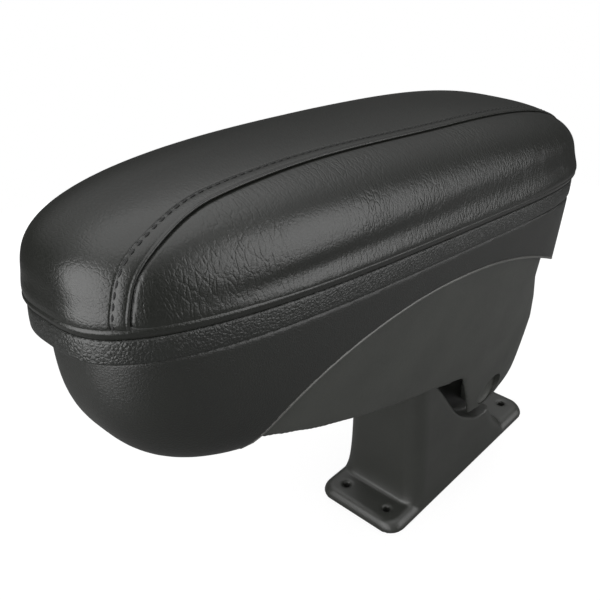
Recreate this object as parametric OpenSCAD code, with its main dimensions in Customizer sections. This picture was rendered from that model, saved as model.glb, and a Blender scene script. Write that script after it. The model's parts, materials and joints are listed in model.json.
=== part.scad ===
// Car centre armrest: padded lid on a storage box, carried by a hinge arm on a screwed-down pedestal.
// +X is the right side, -Y is the front end, +Z is up. The origin is the centre of the base's screw
// pattern, on the underside. The arm and the lid are drawn level and then pitched about the pivot.

/* [Base pedestal] */
// Width of the base
base_w = 61.5; // [59:0.5:66]
// Length of the base
base_l = 159; // [155:1:170]
// Thickness of the screw flanges
base_t = 7.5; // [6:0.5:9]
// Corner radius of the base in plan
base_corner_r = 10.5; // [8:0.5:14]
// Wall of the hollow pedestal
ped_wall = 3; // [2:0.25:4]
// Distance from the base's middle to the front face of the pedestal at its foot
ped_front = 57; // [54:0.5:58]
// Distance from the base's middle to the rear face of the pedestal at its foot
ped_rear = 50; // [48:0.5:52]
// Screw hole spacing across the base
bolt_dx = 32; // [28:0.5:36]
// Screw hole spacing along the base
bolt_dy = 135.5; // [133:0.5:140]
// Screw hole radius
bolt_hole_r = 2.25; // [1.8:0.05:3]
// Radius of the spot face round each screw hole
spot_r = 4.6; // [4:0.1:6]

/* [Pivot] */
// Height of the pivot axis
pivot_z = 57.5; // [56:0.5:60]
// Distance of the pivot axis behind the base's middle
pivot_y = 17; // [15.5:0.5:19]
// Radius of the pivot bolt
bolt_r = 4; // [3:0.25:4.5]
// Wall of the pivot sleeve
sleeve_wall = 2; // [1.5:0.25:3]
// Width of the pedestal's lug between the ears
lug_w = 34; // [30:0.5:34.5]
// Thickness of each friction washer
washer_t = 1; // [0.6:0.1:1.2]
// Thickness of the ear's web at the pivot
ear_web = 3.5; // [2.5:0.25:3.75]
// Half width of the arm at the pivot, outside the ears
ear_face = 30.2; // [30:0.1:32]
// Radius of the pivot caps
cap_r = 11.5; // [10.75:0.25:12]
// Upward pitch of the arm at rest, in degrees
arm_pitch = 4.6; // [2:0.2:6]

/* [Lid] */
// Length of the lid
lid_l = 312.5; // [305:0.5:320]
// Mean width of the lid
lid_w = 104.5; // [102:0.5:108]
// Widening of the lid from its middle to its rear end, as a share
lid_taper = 0.11; // [0.08:0.01:0.13]
// Distance of the lid's rear end behind the base's middle
lid_rear = 62; // [61:0.5:64]
// Height of the rim of the lid tray
rim_h = 10; // [9.5:0.5:12]
// Radius of the rounded lower edge of the rim
rim_round = 1.2; // [0.8:0.1:2]
// Thickness of the tray's floor and walls
tray_t = 2.5; // [2:0.25:3]
// Thickness of the lid board
board_t = 6; // [4:0.5:6.5]
// Height of the cushion above the rim
cushion_h = 46; // [36:1:54]
// Thickness of the cushion's cover
cover_t = 1.4; // [1:0.1:2]

/* [Storage box] */
// Height of the box's top edge above the base, drawn level
box_top = 185.5; // [184:0.5:189]
// Depth of the boat-shaped outer form
box_depth = 67.5; // [66:0.5:70]
// Overhang of the lid past the box at its sides
side_overhang = 2.3; // [1.8:0.1:4]
// Overhang of the lid past the box at its front
front_overhang = 6.5; // [5:0.5:9]
// Thickness of the box's outer skin
skin_t = 2.4; // [1.8:0.1:2.8]
// Thickness of the tub's walls
tub_wall = 2.5; // [2:0.1:3]
// Depth of the storage space
tub_depth = 60; // [50:0.5:60.5]
// Thickness of the box mat
mat_t = 2; // [1:0.5:3]

/* [Hinge arm] */
// Wall of the hinge arm
arm_wall = 2.5; // [2:0.1:3]
// Height of the deck above the pedestal
deck_z = 106; // [105:0.5:108]
// Thickness of the deck
deck_t = 3; // [2.5:0.25:4]
// Radius of the lid hinge's knuckles
knuckle_r = 3; // [2.75:0.05:3.2]
// Radius of the lid hinge pin
pin_r = 1.5; // [1:0.1:1.75]
// Width of each hinge knuckle
knuckle_w = 9.6; // [7:0.2:11]

/* [Hidden] */
$fn = 48;

// Points round each lofted ring
ring_n = 44;
// Clearance between parts that turn on each other, and the looser one round a pin or screw
run_gap = 0.1;
pin_gap = 0.05;
// Larger than any part, for cutting blocks
far = 400;

// Plan outline of the lid: superellipse corners, squarer at the rear, wider towards the rear
front_power = 3.15;
rear_power = 4.85;
box_rear_power = 6.4;
lid_front = lid_rear - lid_l;
plan_mid = lid_rear - lid_l / 2;
function signed_pow(v, p) = sign(v) * pow(abs(v), p);
function widening(y) = 1 + lid_taper * (y - plan_mid) / (lid_l / 2);
function plan_ring(z, half_w, y0, y1, rear = rear_power, front = front_power) = [
    for (i = [0 : ring_n - 1])
        let (
            a = i * 360 / ring_n,
            p = 2 / (sin(a) > 0 ? rear : front),
            len = sin(a) > 0 ? y1 - plan_mid : plan_mid - y0,
            y = plan_mid + len * signed_pow(sin(a), p)
        )
        [half_w * signed_pow(cos(a), p) * widening(y), y, z]
];

// Solid through a stack of rings with equal point counts, lowest ring first
module loft(rings) {
    n = len(rings[0]);
    m = len(rings);
    points = [for (r = rings) for (p = r) p];
    sides = [
        for (k = [0 : m - 2])
            for (i = [0 : n - 1])
                let (j = (i + 1) % n)
                each [
                    [k * n + i, (k + 1) * n + i, (k + 1) * n + j],
                    [k * n + i, (k + 1) * n + j, k * n + j]
                ]
    ];
    bottom = [[for (i = [0 : n - 1]) i]];
    top = [[for (i = [n - 1 : -1 : 0]) (m - 1) * n + i]];
    polyhedron(points, concat(bottom, sides, top), convexity = 6);
}

// Polygon with rounded corners, from a list of [a, b, radius]
function unit(v) = v / norm(v);
function fillet(p, q, r) =
    q[2] == 0
        ? [[q[0], q[1]]]
        : let (
            c = [q[0], q[1]],
            u = unit([p[0], p[1]] - c),
            v = unit([r[0], r[1]] - c),
            half = acos(u * v) / 2,
            reach = q[2] / tan(half),
            centre = c + unit(u + v) * q[2] / sin(half),
            a0 = atan2((c + u * reach - centre)[1], (c + u * reach - centre)[0]),
            a1 = atan2((c + v * reach - centre)[1], (c + v * reach - centre)[0]),
            turn = (a1 - a0 + 540) % 360 - 180,
            steps = max(2, ceil(abs(turn) / 12))
        )
        [for (k = [0 : steps]) centre + q[2] * [cos(a0 + turn * k / steps), sin(a0 + turn * k / steps)]];
function rounded(pts) = [
    for (i = [0 : len(pts) - 1])
        each fillet(pts[(i + len(pts) - 1) % len(pts)], pts[i], pts[(i + 1) % len(pts)])
];
function bezier(p, n) = [
    for (k = [0 : n])
        let (t = k / n, s = 1 - t)
        p[0] * s * s * s + p[1] * 3 * s * s * t + p[2] * 3 * s * t * t + p[3] * t * t * t
];

// Side profile in Y and Z, extruded across X from x0 to x1
module side(x0, x1) {
    translate([x0, 0, 0])
        rotate([90, 0, 90])
            linear_extrude(x1 - x0) children();
}
module both() {
    children();
    mirror([1, 0, 0]) children();
}
module on_arm() {
    translate([0, pivot_y, pivot_z])
        rotate([-arm_pitch, 0, 0])
            translate([0, -pivot_y, -pivot_z]) children();
}
// Child drawn upright at the origin, laid along X at the pivot from the given X outwards
module on_pivot(x = 0) {
    translate([x, pivot_y, pivot_z]) rotate([0, 90, 0]) children();
}

// Pivot stack, measured out from the middle plane
lug_x = lug_w / 2;
ear_in = lug_x + washer_t + run_gap;
web_out = ear_in + ear_web;
sleeve_r = bolt_r + sleeve_wall;
washer_r = sleeve_r + 3;
bush_wall = 1.5;
boss_r = cap_r + 2;
spring_t = 0.7;
spring_r = 7.5;
nut_t = 2.4;
nut_r = 7;
head_t = 3;
nut_x = web_out + 2 * (spring_t + pin_gap);
bolt_end = nut_x + nut_t;
// Recess of the pivot caps: shoulder they sit on, and the room for nut and bolt head behind it
cap_seat = ear_face - 4.2;
nut_room_r = 9.2;

// Screw flange in rising steps: height, inset from the outline
base_x = base_w / 2;
flange_steps = [[0, 0], [2, 0.2], [base_t - 3, 1.4], [base_t - 1.2, 3], [base_t - 0.3, 4.4], [base_t, 5.6]];
// Pedestal in rising steps: height, then inset from the base's side, the front line and the rear line
ped_steps = [
    [2, 0.3, -3, -3.5],
    [base_t - 1.5, 0.8, -2.6, -2.5],
    [base_t + 1, 1.1, -1.2, 0.5],
    [base_t + 6, 1.6, 0.2, 5],
    [base_t + 14, 2.1, 1.2, 11],
    [base_t + 24, 2.6, 1.8, 16],
    [pivot_z - 12, 3, 2.3, 17.5],
    [pivot_z + 4, 3.4, 2.7, 17],
    [pivot_z + 20, 4, 3, 26],
    [pivot_z + 34, 4.6, 3, 48],
    [pivot_z + 52, 5.2, 3, 70]
];
ped_corner_r = 11;
// Height of the pedestal's top, measured in the level arm
ped_top = 100;
function block_ring(z, half_w, y0, y1, r) = [
    for (q = [0 : 3])
        for (k = [0 : 5])
            let (
                a = q * 90 + k * 18,
                cx = (q == 0 || q == 3 ? 1 : -1) * (half_w - r),
                cy = q < 2 ? y1 - r : y0 + r
            )
            [cx + r * cos(a), cy + r * sin(a), z]
];
function ped_ring(v, d) = block_ring(
    v[0], base_x - v[1] - d, -ped_front + v[2] + d, ped_rear - v[3] - d, ped_corner_r - d / 2);
module base_plate() {
    loft([
        for (v = flange_steps)
            let (inset = v[1] * 0.7, r = base_corner_r - v[1] * 0.6)
            block_ring(v[0], base_x - v[1], inset - base_l / 2, base_l / 2 - inset, r)
    ]);
}
// Everything above the given height of the level arm
module above(z) {
    on_arm() translate([-far / 2, -far / 2, z]) cube([far, far, far]);
}
// Side pocket for the ear: y, z, corner radius, then the direction its wall moves in
pocket_edge = [
    [-36, 160, 0, -1, 0],
    [-36, pivot_z + 30.5, 8, -1, -0.4],
    [-9.5, pivot_z - 9, 20, -0.75, -0.75],
    [14, pivot_z - 24, 14, -0.2, -1],
    [28, pivot_z - 23, 6, 0, -1],
    [44, pivot_z - 35.5, 0, 0, -1],
    [90, pivot_z - 35.5, 0, 0, -1],
    [90, 160, 0, 0, 0]
];
module pocket(x, grow) {
    both() side(x, base_w) polygon(rounded([for (p = pocket_edge) [p[0] + grow * p[3], p[1] + grow * p[4], p[2]]]));
}
module ped_core() {
    difference() {
        loft(concat(
            [block_ring(-1, base_x - 2 * ped_wall, 2 * ped_wall - ped_front, ped_rear - 2 * ped_wall, ped_corner_r / 2)],
            [for (k = [2 : len(ped_steps) - 1]) ped_ring(ped_steps[k], ped_wall)]
        ));
        above(ped_top - ped_wall);
        pocket(lug_x - ped_wall, ped_wall);
    }
}
rib_t = 2.4;
rib_y = [-30, -5];
module ped_ribs() {
    intersection() {
        union() {
            on_pivot() cylinder(h = lug_w, r = washer_r + 1, center = true);
            for (y = rib_y) translate([-base_x, y, base_t]) cube([base_w, rib_t, ped_top]);
            translate([-rib_t / 2, -ped_front, base_t]) cube([rib_t, ped_front + ped_rear, ped_top]);
        }
        loft([for (v = ped_steps) ped_ring(v, ped_wall / 2)]);
    }
}
module base_pedestal() {
    color("#2b2c2a") difference() {
        union() {
            difference() {
                union() {
                    base_plate();
                    loft([for (v = ped_steps) ped_ring(v, 0)]);
                }
                ped_core();
            }
            ped_ribs();
        }
        pocket(lug_x, 0);
        above(ped_top);
        on_pivot() cylinder(h = base_w, r = sleeve_r + pin_gap, center = true);
        for (x = [-1, 1]) for (y = [-1, 1])
            translate([x * bolt_dx / 2, y * bolt_dy / 2, 0]) {
                translate([0, 0, -1]) cylinder(h = base_t + 2, r = bolt_hole_r);
                translate([0, 0, base_t - 1]) cylinder(h = 2, r = spot_r);
            }
        buffer_places() translate([0, 0, ped_top - ped_wall - 1]) cylinder(h = ped_wall + 2, r = buffer_stem_r + pin_gap);
    }
}
module pivot_sleeve() {
    color("#8b8d8f") on_pivot() difference() {
        cylinder(h = lug_w, r = sleeve_r, center = true);
        cylinder(h = lug_w + 2, r = bolt_r + pin_gap, center = true);
    }
}
module friction_washers() {
    color("#c9c6bb") both() on_pivot(lug_x + run_gap / 2) difference() {
        cylinder(h = washer_t, r = washer_r);
        translate([0, 0, -1]) cylinder(h = washer_t + 2, r = bolt_r + run_gap);
    }
}
buffer_r = 5;
buffer_stem_r = 2.5;
buffer_x = 13;
buffer_y = 12 - ped_front;
module buffer_places() {
    on_arm() for (x = [-buffer_x, buffer_x]) translate([x, buffer_y, 0]) children();
}
module rest_buffers() {
    color("#161616") buffer_places() {
        translate([0, 0, ped_top]) cylinder(h = deck_z - ped_top - run_gap, r = buffer_r);
        translate([0, 0, ped_top - ped_wall - 1]) cylinder(h = ped_wall + 2, r = buffer_stem_r);
    }
}

// Boat-shaped form of the box: its half width, front end and rounded bottom at each height
box_half_w = lid_w / 2 - side_overhang;
box_rear = lid_rear - 2;
rear_flare = 0.05;
bow_start = lid_front + 100;
bow_power = 2.85;
bilge_start = 0.62;
flank_power = 0.6;
flank_foot = 36;
// Gap between the outer skin of the box and the hinge arm inside it
arm_out = skin_t + 0.3;
function depth_share(z) = min(0.999, max(0, (box_top - z) / box_depth));
function flank(z) = pow(max(0.01, (z - flank_foot) / (box_top - flank_foot)), flank_power);
ear_share = widening(pivot_y) * 0.932;
flank_low = (ear_face / ear_share + arm_out - box_half_w * flank(pivot_z)) / (1 - flank(pivot_z));
function box_half(z) = flank_low + (box_half_w - flank_low) * flank(z);
function bow(z) =
    bow_start - (bow_start - lid_front - front_overhang) * pow(1 - pow(depth_share(z), bow_power), 1 / bow_power);
function bilge(z) = pow(1 - pow(max(0, (depth_share(z) - bilge_start) / (1 - bilge_start)), 3), 1 / 4.6);
// Section rings of the box, as shares of its depth below the top edge
box_steps = [0.93, 0.86, 0.76, 0.64, 0.5, 0.34, 0.16];
box_low = box_top - 0.97 * box_depth;
edge_h = 1.2;
ledge_t = 2.5;
function box_ring(z, d) = plan_ring(
    z, box_half(z) * bilge(z) - d, bow(z) + d, box_rear + rear_flare * (box_top - z) - d, box_rear_power);
function box_rings(low_z, high_z, d) = concat(
    [box_ring(low_z, d)],
    [for (v = box_steps) let (z = box_top - v * box_depth) if (z > low_z + 1 && z < high_z - 1) box_ring(z, d)],
    [box_ring(high_z, d)]
);

// Lower edge of the outer skin, a long wave in side view
wave_y = lid_front + 51.5;
wave_front = [[wave_y, 100], [wave_y, 150], [wave_y + 68, 169.5], [-75, 169.5]];
wave_rear = [[-75, 169.5], [-30, 169.5], [10, 162], [66, 135]];
module below_wave() {
    wave = concat(bezier(wave_front, 10), [for (k = [1 : 8]) bezier(wave_rear, 8)[k]]);
    side(-far / 2, far / 2) polygon(concat(wave, [[90, 135], [90, 40], [wave_y, 40]]));
}
// Hinge arm: section rings, squarer at the rear below the box's skin, and the lower line in side view
arm_rear = 59;
arm_front = wave_y + 2;
arm_low_power = 7.5;
arm_steps = [[38, arm_low_power], [44, arm_low_power], [52, arm_low_power], [62, arm_low_power],
    [78, arm_low_power], [100, arm_low_power], [130, rear_power], [160, rear_power], [190, rear_power]];
arm_low = [
    [wave_y - 1, 136.5, 0], [wave_y + 49, 119.2, 60], [-100, 104.5, 90], [-60, 96, 90], [-28, 87.5, 3],
    [0, 43.5, 7], [26, 43.5, 14], [52, 61, 22], [arm_rear + 1, 98, 60], [arm_rear + 2, 200, 0], [wave_y - 1, 200, 0]
];
tub_in = arm_out + arm_wall + 0.4;
tub_floor = box_top - tub_depth;
tub_floor_t = 3;
tub_low = tub_floor - tub_floor_t;
notch_r = knuckle_r + 2.2;
hinge_y = lid_rear - 4;
hinge_z = box_top - 2.7;
tub_rear = hinge_y - notch_r - 2;
tub_rounding = 8;
function tub_ring(z, d) = plan_ring(z, box_half(z) * bilge(z) - tub_in - d, bow(z) + tub_in + d, tub_rear - d);
function tub_rings(low_z, high_z, d) = [
    for (z = [low_z, tub_floor, tub_floor + tub_rounding, tub_floor + 3 * tub_rounding, high_z])
        if (z == low_z || z > low_z) tub_ring(z, d)
];
// Hinge knuckles: the box carries the outer and middle ones, the lid the two between
knuckle_step = knuckle_w + 0.3;
module knuckle_places(list) {
    for (i = list) translate([i * knuckle_step, hinge_y, hinge_z]) rotate([0, 90, 0]) children();
}
module pin_hole() {
    translate([0, hinge_y, hinge_z]) rotate([0, 90, 0]) cylinder(h = lid_w, r = pin_r + pin_gap, center = true);
}
screw_y = [-120, 28];
screw_x = 17;
module box_screw_places(list = screw_y) {
    for (x = [-screw_x, screw_x]) for (y = list) translate([x, y, 0]) children();
}
// Space of the tub above its floor, which ramps up ahead of the arm's rising underside
ramp_y = wave_y + 50;
ramp_z = arm_low[0][1] + 3;
module above_floor(d) {
    side(-far / 2, far / 2) polygon([
        [-far, far], [-far, ramp_z + d], [arm_front - 1, ramp_z + d], [ramp_y, tub_low + d], [far, tub_low + d], [far, far]
    ]);
}
module tub_space() {
    intersection() {
        loft(tub_rings(tub_floor, box_top + 1, tub_wall));
        above_floor(tub_floor_t);
    }
}
module storage_box() {
    color("#262725") on_arm() difference() {
        union() {
            difference() {
                loft(concat(box_rings(box_low, box_top - edge_h, 0), [box_ring(box_top, 1)]));
                loft(box_rings(tub_low + 0.3, box_top - ledge_t, skin_t));
                below_wave();
            }
            knuckle_places([-2, 0, 2]) cylinder(h = knuckle_w, r = knuckle_r, center = true);
        }
        tub_space();
        knuckle_places([-1, 1]) cylinder(h = knuckle_step + 0.3, r = notch_r, center = true);
        pin_hole();
    }
}
// Liner of the storage space, standing on the arm and reaching up to the box's ledge
module box_liner() {
    color("#232422") on_arm() difference() {
        intersection() {
            loft(tub_rings(tub_low, box_top - ledge_t, 0));
            above_floor(0);
        }
        tub_space();
        box_screw_places() translate([0, 0, tub_low - 1]) cylinder(h = tub_floor_t + 2, r = screw_r + 0.2);
    }
}
screw_r = 1.7;
screw_head_r = 3.5;
screw_head_t = 1.9;
screw_l = 12;
post_r = 4.5;
module box_mat() {
    color("#1a1a1a") on_arm() difference() {
        loft([for (z = [0.05, mat_t]) [for (p = tub_ring(tub_floor, tub_wall + 1)) [p[0], p[1], tub_floor + z]]]);
        translate([-far / 2, ramp_y + 2 - far, 0]) cube([far, far, far]);
        box_screw_places() translate([0, 0, tub_floor - 1]) cylinder(h = mat_t + 2, r = screw_head_r + 0.7);
    }
}
module box_screws() {
    color("#9a9a98") on_arm() box_screw_places() {
        translate([0, 0, tub_floor]) cylinder(h = screw_head_t, r = screw_head_r);
        translate([0, 0, tub_floor - screw_l]) cylinder(h = screw_l + 1, r = screw_r);
    }
}

module arm_form(d) {
    loft([
        for (v = arm_steps)
            plan_ring(v[0], box_half(v[0]) - arm_out - d, lid_front + 20, arm_rear - d, v[1])
    ]);
}
// Lap of the arm behind the box's skin
lap = 7;
open_y = -64;
tuck_y = wave_y + 29;
nose_y = wave_y + 12;
module arm_outline() {
    intersection() {
        arm_form(0);
        side(-far / 2, far / 2) polygon(rounded(arm_low));
        translate([0, 0, lap]) below_wave();
        union() {
            translate([-far / 2, tuck_y, 0]) cube([far, far, far]);
            intersection() {
                translate([-far / 2, nose_y, 0]) cube([far, far, far]);
                translate([0, 0, -0.3]) below_wave();
            }
            loft(box_rings(tub_low + 1, box_top, arm_out));
        }
        translate([-far / 2, arm_front, 0]) cube([far, far, far]);
    }
}
module arm_hollow() {
    intersection() {
        arm_form(arm_wall);
        union() {
            intersection() {
                translate([0, 0, arm_wall * 1.1]) side(-far / 2, far / 2) polygon(rounded(arm_low));
                translate([-far / 2, arm_front + arm_wall, 0]) cube([far, far, far]);
            }
            translate([-far / 2, open_y, 0]) cube([far, far, far]);
        }
    }
}
module hinge_arm() {
    color("#2b2c2a") on_arm() difference() {
        arm_outline();
        difference() {
            arm_hollow();
            translate([-far / 2, open_y - arm_wall, deck_z]) cube([far, far, deck_t]);
            translate([-far / 2, open_y - arm_wall, 0]) cube([far, arm_wall, deck_z + 1]);
            both() on_pivot(ear_in) cylinder(h = ear_face, r = boss_r);
            box_screw_places([screw_y[0]]) cylinder(h = tub_low - pin_gap, r = post_r);
            box_screw_places([screw_y[1]]) translate([0, 0, deck_z]) cylinder(h = tub_low - deck_z - pin_gap, r = post_r);
        }
        translate([-base_x + 2, pivot_y + boss_r + 2, 0]) cube([base_w - 4, far, tail_z]);
        both() on_pivot(web_out) cylinder(h = ear_face, r = nut_room_r);
        both() on_pivot(cap_seat) cylinder(h = ear_face, r = cap_r + run_gap);
        on_pivot() cylinder(h = base_w, r = bolt_r + bush_wall + pin_gap, center = true);
        box_screw_places() translate([0, 0, tub_floor - screw_l - 0.5]) cylinder(h = screw_l, r = screw_r + pin_gap);
    }
}
// Height below which the arm's rear wall is left out between the ears
tail_z = 74;
module ear_bushes() {
    color("#c9c6bb") on_arm() both() on_pivot(ear_in) difference() {
        cylinder(h = ear_web, r = bolt_r + bush_wall);
        translate([0, 0, -1]) cylinder(h = ear_web + 2, r = bolt_r + pin_gap);
    }
}
module pivot_bolt() {
    color("#8b8d8f") on_arm() {
        on_pivot(-bolt_end) cylinder(h = bolt_end + web_out + 1, r = bolt_r);
        on_pivot(web_out) cylinder(h = head_t, r1 = spring_r, r2 = spring_r - 1.5);
    }
}
module pivot_nut() {
    color("#8b8d8f") on_arm() on_pivot(-bolt_end) difference() {
        cylinder(h = nut_t, r = nut_r, $fn = 6);
        translate([0, 0, -1]) cylinder(h = nut_t + 2, r = bolt_r + pin_gap);
    }
}
module disc_springs() {
    color("#77797b") on_arm() for (i = [0, 1])
        on_pivot(-nut_x + pin_gap + i * (spring_t + pin_gap)) difference() {
            cylinder(h = spring_t, r = spring_r);
            translate([0, 0, -1]) cylinder(h = spring_t + 2, r = bolt_r + run_gap);
        }
}
// Dished cap pressed into the ear: radius and height of its profile
module pivot_cap() {
    on_pivot(cap_seat) rotate_extrude()
        polygon([[0, 0], [cap_r, 0], [cap_r, 2.3], [cap_r - 0.4, 2.6], [cap_r - 2, 2], [6, 1.1], [0, 0.9]]);
}
module pivot_cap_right() {
    color("#2e2f2d") on_arm() pivot_cap();
}
module pivot_cap_left() {
    color("#2e2f2d") on_arm() mirror([1, 0, 0]) pivot_cap();
}

// Lid
tray_z = box_top + 1;
rim_top = tray_z + rim_h;
board_z = tray_z + tray_t + run_gap;
board_top = board_z + board_t;
board_in = tray_t + 1.4;
function lid_ring(z, inset) = plan_ring(z, lid_w / 2 - inset, lid_front + inset, lid_rear - inset);
module lid_hinge_pin() {
    color("#a7a9ab") on_arm() translate([0, hinge_y, hinge_z]) rotate([0, 90, 0])
        cylinder(h = 5 * knuckle_step, r = pin_r, center = true);
}
board_screw_spots = [
    [lid_w * 0.268, lid_front + 45.5], [lid_w * 0.345, plan_mid - 0.75], [lid_w * 0.364, lid_rear - 42]
];
module board_screw_places() {
    for (x = [-1, 1]) for (p = board_screw_spots) translate([x * p[0], p[1], 0]) children();
}
board_screw_r = 1.5;
board_screw_head_r = 3.1;
bumper_stem_r = 1.5;
bumper_spots = [
    [lid_w * 0.23, lid_front + front_overhang + 9.3],
    [(lid_w / 2 - side_overhang - 2 * bumper_stem_r) * widening(lid_rear - 82) - 1.2, lid_rear - 82]
];
module bumper_places() {
    for (x = [-1, 1]) for (p = bumper_spots) translate([x * p[0], p[1], 0]) children();
}
module lid_tray() {
    color("#222321") on_arm() difference() {
        loft([
            for (a = [0, 30, 60, 90]) lid_ring(tray_z + rim_round * (1 - cos(a)), rim_round * (1 - sin(a))),
            lid_ring(rim_top, 0)
        ]);
        loft([for (z = [tray_z + tray_t, rim_top + 1]) lid_ring(z, tray_t + 1)]);
        board_screw_places() {
            translate([0, 0, tray_z - 1]) cylinder(h = tray_t + 2, r = board_screw_r + 0.3);
            translate([0, 0, tray_z - 1]) cylinder(h = 2.4, r = board_screw_head_r + 0.2);
        }
        bumper_places() translate([0, 0, tray_z - 1]) cylinder(h = tray_t + 2, r = bumper_stem_r + pin_gap);
    }
}
module lid_knuckles() {
    color("#222321") on_arm() difference() {
        union() {
            knuckle_places([-1, 1]) cylinder(h = knuckle_w, r = knuckle_r, center = true);
            for (i = [-1, 1])
                translate([i * knuckle_step - knuckle_w / 2, hinge_y - knuckle_r, hinge_z])
                    cube([knuckle_w, knuckle_r * 2 - 1, tray_z - hinge_z]);
        }
        pin_hole();
    }
}
module lid_board() {
    color("#8a6f4d") on_arm() difference() {
        loft([for (z = [board_z, board_top]) lid_ring(z, board_in)]);
        board_screw_places() translate([0, 0, tray_z]) cylinder(h = tray_t + 5, r = board_screw_r + pin_gap);
    }
}
module board_screws() {
    color("#9a9a98") on_arm() board_screw_places() {
        translate([0, 0, tray_z]) cylinder(h = 1.35, r = board_screw_head_r);
        translate([0, 0, tray_z]) cylinder(h = tray_t + 4.5, r = board_screw_r);
    }
}
module lid_bumpers() {
    color("#161616") on_arm() bumper_places() {
        translate([0, 0, box_top + run_gap]) cylinder(h = tray_z - box_top - run_gap, r = 2 * bumper_stem_r);
        translate([0, 0, box_top + run_gap]) cylinder(h = 2.8, r = bumper_stem_r);
    }
}

// Cushion: a tucked foot, a short bulge over the rim, then a domed crown
cushion_z = rim_top + 0.3;
bulge_h = 11;
bulge = 0.4;
crown_z = cushion_z + bulge_h;
side_crown = 2.75;
front_crown = 3.15;
rear_crown = 3;
top_power = 2.55;
crown_angles = [0, 14, 28, 42, 55, 66, 75, 82, 87];
function crown_ring(d, a) =
    let (
        s = sin(a),
        reach = [for (p = [side_crown, front_crown, rear_crown]) pow(1 - pow(s, p), 1 / p)],
        half_l = lid_l / 2 + bulge - d
    )
    plan_ring(
        crown_z + (cushion_h - bulge_h - d) * s,
        (lid_w / 2 + bulge - d) * reach[0],
        plan_mid - half_l * reach[1],
        plan_mid + half_l * reach[2],
        rear_power + (top_power - rear_power) * s,
        front_power + (top_power - front_power) * s
    );
// Outside of the cushion moved in by d, from its foot ring up
function cushion_rings(d, foot) = concat(
    foot,
    [lid_ring(cushion_z + 2 + d, d - 0.4), lid_ring(cushion_z + 6, d - 1.2)],
    [for (a = crown_angles) crown_ring(d, a)]
);
function foam_rings(z0, gap) = cushion_rings(
    cover_t + gap,
    [lid_ring(z0, board_in + gap), lid_ring(cushion_z + cover_t + gap, board_in + gap)]
);
module cushion_foam() {
    color("#4a4a46") on_arm() loft(foam_rings(board_top + run_gap, run_gap));
}
module cushion_cover() {
    color("#1d1e1d") on_arm() difference() {
        loft(cushion_rings(0, [lid_ring(cushion_z, 1.2)]));
        loft(foam_rings(cushion_z - 1, 0));
    }
}

base_pedestal();
pivot_sleeve();
friction_washers();
rest_buffers();
hinge_arm();
ear_bushes();
pivot_bolt();
pivot_nut();
disc_springs();
pivot_cap_right();
pivot_cap_left();
storage_box();
box_liner();
box_mat();
box_screws();
lid_hinge_pin();
lid_tray();
lid_knuckles();
lid_board();
cushion_foam();
cushion_cover();
board_screws();
lid_bumpers();
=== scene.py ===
import json
import math
import bmesh
import bpy
import numpy as np
from mathutils import Matrix, Vector, kdtree
from mathutils.bvhtree import BVHTree


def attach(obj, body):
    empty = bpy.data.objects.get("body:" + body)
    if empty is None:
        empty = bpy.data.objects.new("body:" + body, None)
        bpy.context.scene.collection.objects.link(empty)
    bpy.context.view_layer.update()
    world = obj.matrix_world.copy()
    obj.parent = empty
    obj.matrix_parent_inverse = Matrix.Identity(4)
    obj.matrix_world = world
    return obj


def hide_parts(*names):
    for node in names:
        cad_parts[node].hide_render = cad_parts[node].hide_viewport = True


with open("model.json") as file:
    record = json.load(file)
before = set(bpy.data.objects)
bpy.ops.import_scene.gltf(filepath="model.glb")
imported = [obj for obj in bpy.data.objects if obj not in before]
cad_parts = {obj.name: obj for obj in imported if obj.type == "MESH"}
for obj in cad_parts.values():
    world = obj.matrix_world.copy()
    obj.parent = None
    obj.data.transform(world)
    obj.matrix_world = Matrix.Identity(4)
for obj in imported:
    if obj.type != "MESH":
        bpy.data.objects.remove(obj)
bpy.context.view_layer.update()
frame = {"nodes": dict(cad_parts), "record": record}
nodes = frame["nodes"]
scene = bpy.context.scene
MM = 0.001

# Camera fitted to the photograph, in millimetres, degrees and pixels
CAM_POS = (213.87, -332.10, 349.07)
CAM_AZ, CAM_EL, CAM_ROLL = (math.radians(v) for v in (41.23, 30.40, -0.49))
PICTURE, FOCAL_PX, CENTRE_X, CENTRE_Y = 600, 743.87, 343.15, 299.94
SENSOR = 36

# Sizes repeated from the CAD source, in millimetres
PITCH, PIVOT_Y, PIVOT_Z = math.radians(4.6), 17.0, 57.5
BASE_W, BASE_L, BASE_T, BASE_R = 61.5, 159.0, 7.5, 10.5
BOLT_DX, BOLT_DY, BOLT_R, SPOT_R = 32.0, 135.5, 2.25, 3.3
PED_WALL, PED_FRONT, PED_REAR, PED_R, PED_TOP = 3.0, 57.0, 50.0, 11.0, 100.0
LUG_X, SLEEVE_R, BOLT_SHANK, BUSH_WALL = 17.0, 6.0, 4.0, 1.5
EAR_IN, EAR_WEB, EAR_FACE, CAP_R, CAP_SEAT, NUT_ROOM = 18.1, 3.5, 30.2, 11.5, 4.2, 9.2
LID_L, LID_W, TAPER, LID_REAR = 312.5, 104.5, 0.11, 62.0
LID_FRONT, PLAN_MID = LID_REAR - LID_L, LID_REAR - LID_L / 2
FRONT_POWER, REAR_POWER, BOX_REAR_POWER, ARM_POWER = 3.15, 4.85, 6.4, 7.5
RIM_H, TRAY_T = 10.0, 2.5
BOX_TOP, BOX_DEPTH, SKIN_T, TUB_WALL, TUB_DEPTH = 185.5, 67.5, 2.4, 2.5, 60.0
BOX_SCREW_X, BOX_SCREW_Y = 17, (-120, 28)
ARM_WALL, DECK_Z, DECK_T = 2.5, 106.0, 3.0
HINGE_Y, HINGE_Z, KNUCKLE_R, KNUCKLE_W, PIN_R = LID_REAR - 4, BOX_TOP - 2.7, 3.0, 9.6, 1.5
TRAY_Z, RIM_TOP = BOX_TOP + 1, BOX_TOP + 1 + RIM_H
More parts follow.
